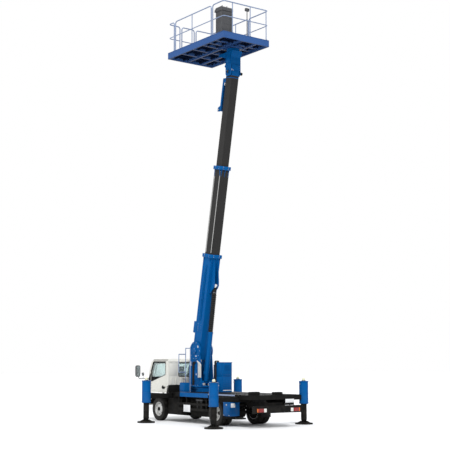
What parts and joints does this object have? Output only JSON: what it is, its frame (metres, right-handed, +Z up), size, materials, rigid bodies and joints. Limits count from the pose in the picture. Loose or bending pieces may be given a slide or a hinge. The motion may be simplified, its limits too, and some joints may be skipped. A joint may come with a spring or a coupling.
{
  "type": "truck-mounted cherry picker",
  "caption": "Cab-over truck with slewing turret, telescopic boom, levelled work deck and extending jacks, parked with jacks out and boom raised.",
  "frame": {"origin": "on the floor, under the middle of the whole machine's box", "axes": "+X forward, +Y to the driver's left, +Z up"},
  "size_m": [6.03, 4.08, 13.079],
  "materials": {
    "blue_paint": "gloss enamel",
    "deck_blue": "gloss enamel",
    "boom_dark": "satin, slid clean",
    "frame_black": "satin chassis paint",
    "cab_ivory": "gloss body paint",
    "tyre_rubber": "matte",
    "wheel_silver": "silver enamel",
    "clear_glass": "clear",
    "rod_chrome": "polished",
    "trim_plastic": "grained",
    "lamp_lens": "moulded lens",
    "engine_iron": "rough"
  },
  "bodies": {
    "chassis": {"battery_box": "frame_black", "chassis_frame": "frame_black", "control_stand": "blue_paint", "deck_rests": "frame_black", "engine_block": "engine_iron", "flat_bed": "frame_black", "front_axle": "frame_black", "front_bumper": "cab_ivory", "fuel_tank": "frame_black", "jack_sleeves": "frame_black", "mudguards": "frame_black", "power_cabinet": "blue_paint", "rear_axle": "frame_black", "rear_bar": "frame_black", "side_guards": "frame_black", "subframe": "blue_paint", "tail_lamps": "lamp_lens", "tool_box": "blue_paint"},
    "cab": {"cab_shell": "cab_ivory", "cab_glass": "clear_glass", "cab_seats": "trim_plastic", "dashboard": "trim_plastic", "steering_wheel": "trim_plastic", "headlamps": "lamp_lens", "mirrors": "trim_plastic"},
    "door_left": {"door_left": "cab_ivory", "door_glass_left": "clear_glass"},
    "door_right": {"door_right": "cab_ivory", "door_glass_right": "clear_glass"},
    "knuckle_left": {"knuckle_left": "frame_black"},
    "knuckle_right": {"knuckle_right": "frame_black"},
    "wheel_front_left": {"tyre_front_left": "tyre_rubber", "rim_front_left": "wheel_silver"},
    "wheel_rear_left": {"tyre_rear_left": "tyre_rubber", "rim_rear_left": "wheel_silver"},
    "wheel_front_right": {"tyre_front_right": "tyre_rubber", "rim_front_right": "wheel_silver"},
    "wheel_rear_right": {"tyre_rear_right": "tyre_rubber", "rim_rear_right": "wheel_silver"},
    "turret": {"turret": "blue_paint"},
    "boom_base": {"boom_base": "blue_paint"},
    "lift_barrel": {"lift_barrel": "blue_paint"},
    "lift_rod": {"lift_rod": "rod_chrome"},
    "boom_mid": {"boom_mid": "boom_dark"},
    "boom_top": {"boom_top": "boom_dark", "level_bars": "blue_paint"},
    "level_barrel": {"level_barrel": "blue_paint"},
    "level_rod": {"level_rod": "rod_chrome"},
    "neck": {"neck": "blue_paint"},
    "deck": {"deck_floor": "deck_blue", "deck_rails": "blue_paint", "deck_console": "trim_plastic"},
    "jack_arm_front_left": {"jack_arm_front_left": "blue_paint"},
    "jack_leg_front_left": {"jack_leg_front_left": "frame_black"},
    "jack_arm_front_right": {"jack_arm_front_right": "blue_paint"},
    "jack_leg_front_right": {"jack_leg_front_right": "frame_black"},
    "jack_arm_rear_left": {"jack_arm_rear_left": "blue_paint"},
    "jack_leg_rear_left": {"jack_leg_rear_left": "frame_black"},
    "jack_arm_rear_right": {"jack_arm_rear_right": "blue_paint"},
    "jack_leg_rear_right": {"jack_leg_rear_right": "frame_black"}
  },
  "joints": [
    {"name": "cab_tilt", "type": "hinge", "parent": "chassis", "child": "cab", "pos_m": [2.765, 0, 0.8], "axis": [0, 1, 0], "range_deg": [0, 45]},
    {"name": "door_left_hinge", "type": "hinge", "parent": "cab", "child": "door_left", "pos_m": [2.602, 0.868, 1.4], "axis": [0, 0, -1], "range_deg": [0, 70]},
    {"name": "door_right_hinge", "type": "hinge", "parent": "cab", "child": "door_right", "pos_m": [2.602, -0.868, 1.4], "axis": [0, 0, 1], "range_deg": [0, 70]},
    {"name": "steer_left", "type": "hinge", "parent": "chassis", "child": "knuckle_left", "pos_m": [2.235, 0.56, 0.372], "axis": [0, 0, 1], "range_deg": [-35, 35]},
    {"name": "steer_right", "type": "hinge", "parent": "chassis", "child": "knuckle_right", "pos_m": [2.235, -0.56, 0.372], "axis": [0, 0, 1], "range_deg": [-35, 35]},
    {"name": "roll_front_left", "type": "hinge", "parent": "knuckle_left", "child": "wheel_front_left", "pos_m": [2.235, 0.705, 0.372], "axis": [0, 1, 0], "continuous": true},
    {"name": "roll_rear_left", "type": "hinge", "parent": "chassis", "child": "wheel_rear_left", "pos_m": [-1.115, 0.7175, 0.372], "axis": [0, 1, 0], "continuous": true},
    {"name": "roll_front_right", "type": "hinge", "parent": "knuckle_right", "child": "wheel_front_right", "pos_m": [2.235, -0.705, 0.372], "axis": [0, 1, 0], "continuous": true},
    {"name": "roll_rear_right", "type": "hinge", "parent": "chassis", "child": "wheel_rear_right", "pos_m": [-1.115, -0.7175, 0.372], "axis": [0, 1, 0], "continuous": true},
    {"name": "slew", "type": "hinge", "parent": "chassis", "child": "turret", "pos_m": [0.935, 0, 1.1], "axis": [0, 0, 1], "continuous": true},
    {"name": "boom_luff", "type": "hinge", "parent": "turret", "child": "boom_base", "pos_m": [0.935, 0, 2.25], "axis": [0, 1, 0], "range_deg": [-79, 0]},
    {"name": "lift_swing", "type": "hinge", "parent": "turret", "child": "lift_barrel", "pos_m": [0.685, 0, 1.25], "axis": [0, 1, 0], "range_deg": [-62.2, 0]},
    {"name": "lift_extend", "type": "slide", "parent": "lift_barrel", "child": "lift_rod", "axis": [-0.1605, 0, 0.987], "range_m": [-1.0765, 0]},
    {"name": "telescope_mid", "type": "slide", "parent": "boom_base", "child": "boom_mid", "axis": [-0.1908, 0, 0.9816], "range_m": [-2.5, 0]},
    {"name": "telescope_top", "type": "slide", "parent": "boom_mid", "child": "boom_top", "axis": [-0.1908, 0, 0.9816], "range_m": [-2.5, 0]},
    {"name": "level_swing", "type": "hinge", "parent": "boom_top", "child": "level_barrel", "pos_m": [-0.14484, 0, 10.00646], "axis": [0, 1, 0], "range_deg": [-7, 0]},
    {"name": "level_extend", "type": "slide", "parent": "level_barrel", "child": "level_rod", "axis": [-0.2434, 0, 0.9699], "range_m": [-0.4865, 0]},
    {"name": "neck_level", "type": "hinge", "parent": "boom_top", "child": "neck", "pos_m": [-0.788, 0, 11.11409], "axis": [0, 1, 0], "range_deg": [0, 79]},
    {"name": "deck_swing", "type": "hinge", "parent": "neck", "child": "deck", "pos_m": [-0.788, 0, 11.868], "axis": [0, 0, 1], "range_deg": [0, 90]},
    {"name": "arm_front_left", "type": "slide", "parent": "chassis", "child": "jack_arm_front_left", "axis": [0, 1, 0], "range_m": [-0.71, 0]},
    {"name": "leg_front_left", "type": "slide", "parent": "jack_arm_front_left", "child": "jack_leg_front_left", "axis": [0, 0, -1], "range_m": [-0.42, 0]},
    {"name": "arm_front_right", "type": "slide", "parent": "chassis", "child": "jack_arm_front_right", "axis": [0, -1, 0], "range_m": [-0.71, 0]},
    {"name": "leg_front_right", "type": "slide", "parent": "jack_arm_front_right", "child": "jack_leg_front_right", "axis": [0, 0, -1], "range_m": [-0.42, 0]},
    {"name": "arm_rear_left", "type": "slide", "parent": "chassis", "child": "jack_arm_rear_left", "axis": [0, 1, 0], "range_m": [-0.71, 0]},
    {"name": "leg_rear_left", "type": "slide", "parent": "jack_arm_rear_left", "child": "jack_leg_rear_left", "axis": [0, 0, -1], "range_m": [-0.42, 0]},
    {"name": "arm_rear_right", "type": "slide", "parent": "chassis", "child": "jack_arm_rear_right", "axis": [0, -1, 0], "range_m": [-0.71, 0]},
    {"name": "leg_rear_right", "type": "slide", "parent": "jack_arm_rear_right", "child": "jack_leg_rear_right", "axis": [0, 0, -1], "range_m": [-0.42, 0]}
  ],
  "couplings": [
    {"joint": "steer_right", "follows": "steer_left", "ratio": 1},
    {"joint": "lift_swing", "follows": "boom_luff", "ratio": 0.7845},
    {"joint": "lift_extend", "follows": "boom_luff", "m_per_rad": 0.78054},
    {"joint": "telescope_top", "follows": "telescope_mid", "ratio": 1},
    {"joint": "level_swing", "follows": "boom_luff", "ratio": 0.087169},
    {"joint": "level_extend", "follows": "boom_luff", "m_per_rad": 0.35253},
    {"joint": "neck_level", "follows": "boom_luff", "ratio": -1}
  ]
}
